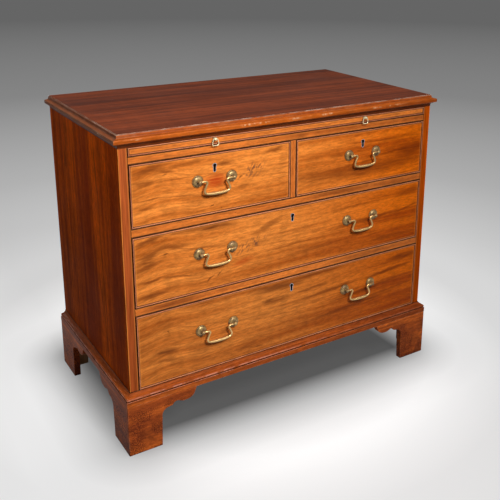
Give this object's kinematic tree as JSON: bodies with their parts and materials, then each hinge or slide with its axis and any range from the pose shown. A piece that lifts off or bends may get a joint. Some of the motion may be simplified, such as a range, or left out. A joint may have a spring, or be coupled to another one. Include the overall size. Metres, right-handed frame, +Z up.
{
  "type": "bachelors chest of drawers",
  "caption": "Low mahogany chest with short drawers over long drawers, a pull-out brushing slide under a moulded top, swan-neck brass handles and shaped bracket feet.",
  "frame": {"origin": "on the floor, at the middle of the whole chest's footprint with its handles", "axes": "+X to the right along the front, +Y from the drawer fronts towards the back, +Z up"},
  "size_m": [0.96, 0.53, 0.812],
  "materials": {
    "top_mahogany": "waxed and polished, dark red-brown",
    "side_mahogany": "waxed, upright grain",
    "front_mahogany": "waxed, figured, warm gold",
    "rail_mahogany": "waxed",
    "base_mahogany": "waxed, worn at the edges",
    "drawer_oak": "bare, dry, aged",
    "carcass_pine": "bare, stained by age",
    "aged_brass": "aged, bright where hands rub it",
    "lock_steel": "dull steel"
  },
  "bodies": {
    "carcass": {"top_board": "top_mahogany", "side_panel_left": "side_mahogany", "side_panel_right": "side_mahogany", "back_panel": "carcass_pine", "bottom_board": "carcass_pine", "rail_under_slide": "rail_mahogany", "rail_mid": "rail_mahogany", "rail_low": "rail_mahogany", "muntin": "rail_mahogany", "dustboard_upper": "carcass_pine", "dustboard_mid": "carcass_pine", "dustboard_low": "carcass_pine", "base_moulding": "base_mahogany", "foot_front_left": "base_mahogany", "foot_front_right": "base_mahogany", "foot_back_left": "base_mahogany", "foot_back_right": "base_mahogany"},
    "brushing_slide": {"brushing_slide": "rail_mahogany", "slide_knob_left": "aged_brass", "slide_knob_right": "aged_brass"},
    "ring_left": {"slide_ring_left": "aged_brass"},
    "ring_right": {"slide_ring_right": "aged_brass"},
    "drawer_short_left": {"drawer_short_left_front": "front_mahogany", "drawer_short_left_box": "drawer_oak", "drawer_short_left_bottom": "drawer_oak", "lock_short_left_case": "lock_steel", "handle_short_left_post_l": "aged_brass", "handle_short_left_post_r": "aged_brass"},
    "bolt_short_left": {"lock_short_left_bolt": "lock_steel"},
    "bail_short_left": {"handle_short_left_bail": "aged_brass"},
    "drawer_short_right": {"drawer_short_right_front": "front_mahogany", "drawer_short_right_box": "drawer_oak", "drawer_short_right_bottom": "drawer_oak", "lock_short_right_case": "lock_steel", "handle_short_right_post_l": "aged_brass", "handle_short_right_post_r": "aged_brass"},
    "bolt_short_right": {"lock_short_right_bolt": "lock_steel"},
    "bail_short_right": {"handle_short_right_bail": "aged_brass"},
    "drawer_long_upper": {"drawer_long_upper_front": "front_mahogany", "drawer_long_upper_box": "drawer_oak", "drawer_long_upper_bottom": "drawer_oak", "lock_long_upper_case": "lock_steel", "handle_upper_left_post_l": "aged_brass", "handle_upper_left_post_r": "aged_brass", "handle_upper_right_post_l": "aged_brass", "handle_upper_right_post_r": "aged_brass"},
    "bolt_long_upper": {"lock_long_upper_bolt": "lock_steel"},
    "bail_upper_left": {"handle_upper_left_bail": "aged_brass"},
    "bail_upper_right": {"handle_upper_right_bail": "aged_brass"},
    "drawer_long_lower": {"drawer_long_lower_front": "front_mahogany", "drawer_long_lower_box": "drawer_oak", "drawer_long_lower_bottom": "drawer_oak", "lock_long_lower_case": "lock_steel", "handle_lower_left_post_l": "aged_brass", "handle_lower_left_post_r": "aged_brass", "handle_lower_right_post_l": "aged_brass", "handle_lower_right_post_r": "aged_brass"},
    "bolt_long_lower": {"lock_long_lower_bolt": "lock_steel"},
    "bail_lower_left": {"handle_lower_left_bail": "aged_brass"},
    "bail_lower_right": {"handle_lower_right_bail": "aged_brass"}
  },
  "joints": [
    {"name": "brushing_slide_out", "type": "slide", "parent": "carcass", "child": "brushing_slide", "axis": [0, -1, 0], "range_m": [0, 0.3]},
    {"name": "ring_left_swing", "type": "hinge", "parent": "brushing_slide", "child": "ring_left", "pos_m": [-0.2255, -0.2545, 0.7731], "axis": [-1, 0, 0], "range_deg": [-15, 110]},
    {"name": "ring_right_swing", "type": "hinge", "parent": "brushing_slide", "child": "ring_right", "pos_m": [0.2255, -0.2545, 0.7731], "axis": [-1, 0, 0], "range_deg": [-15, 110]},
    {"name": "drawer_short_left_out", "type": "slide", "parent": "carcass", "child": "drawer_short_left", "axis": [0, -1, 0], "range_m": [0, 0.35]},
    {"name": "bolt_short_left_throw", "type": "slide", "parent": "drawer_short_left", "child": "bolt_short_left", "axis": [0, 0, 1], "range_m": [0, 0.008]},
    {"name": "bail_short_left_swing", "type": "hinge", "parent": "drawer_short_left", "child": "bail_short_left", "pos_m": [-0.2255, -0.26, 0.6736], "axis": [-1, 0, 0], "range_deg": [-14, 170]},
    {"name": "drawer_short_right_out", "type": "slide", "parent": "carcass", "child": "drawer_short_right", "axis": [0, -1, 0], "range_m": [0, 0.35]},
    {"name": "bolt_short_right_throw", "type": "slide", "parent": "drawer_short_right", "child": "bolt_short_right", "axis": [0, 0, 1], "range_m": [0, 0.008]},
    {"name": "bail_short_right_swing", "type": "hinge", "parent": "drawer_short_right", "child": "bail_short_right", "pos_m": [0.2255, -0.26, 0.6736], "axis": [-1, 0, 0], "range_deg": [-14, 170]},
    {"name": "drawer_long_upper_out", "type": "slide", "parent": "carcass", "child": "drawer_long_upper", "axis": [0, -1, 0], "range_m": [0, 0.35]},
    {"name": "bolt_long_upper_throw", "type": "slide", "parent": "drawer_long_upper", "child": "bolt_long_upper", "axis": [0, 0, 1], "range_m": [0, 0.008]},
    {"name": "bail_upper_left_swing", "type": "hinge", "parent": "drawer_long_upper", "child": "bail_upper_left", "pos_m": [-0.2255, -0.26, 0.4877], "axis": [-1, 0, 0], "range_deg": [-14, 170]},
    {"name": "bail_upper_right_swing", "type": "hinge", "parent": "drawer_long_upper", "child": "bail_upper_right", "pos_m": [0.2255, -0.26, 0.4877], "axis": [-1, 0, 0], "range_deg": [-14, 170]},
    {"name": "drawer_long_lower_out", "type": "slide", "parent": "carcass", "child": "drawer_long_lower", "axis": [0, -1, 0], "range_m": [0, 0.35]},
    {"name": "bolt_long_lower_throw", "type": "slide", "parent": "drawer_long_lower", "child": "bolt_long_lower", "axis": [0, 0, 1], "range_m": [0, 0.008]},
    {"name": "bail_lower_left_swing", "type": "hinge", "parent": "drawer_long_lower", "child": "bail_lower_left", "pos_m": [-0.2255, -0.26, 0.279], "axis": [-1, 0, 0], "range_deg": [-14, 170]},
    {"name": "bail_lower_right_swing", "type": "hinge", "parent": "drawer_long_lower", "child": "bail_lower_right", "pos_m": [0.2255, -0.26, 0.279], "axis": [-1, 0, 0], "range_deg": [-14, 170]}
  ]
}
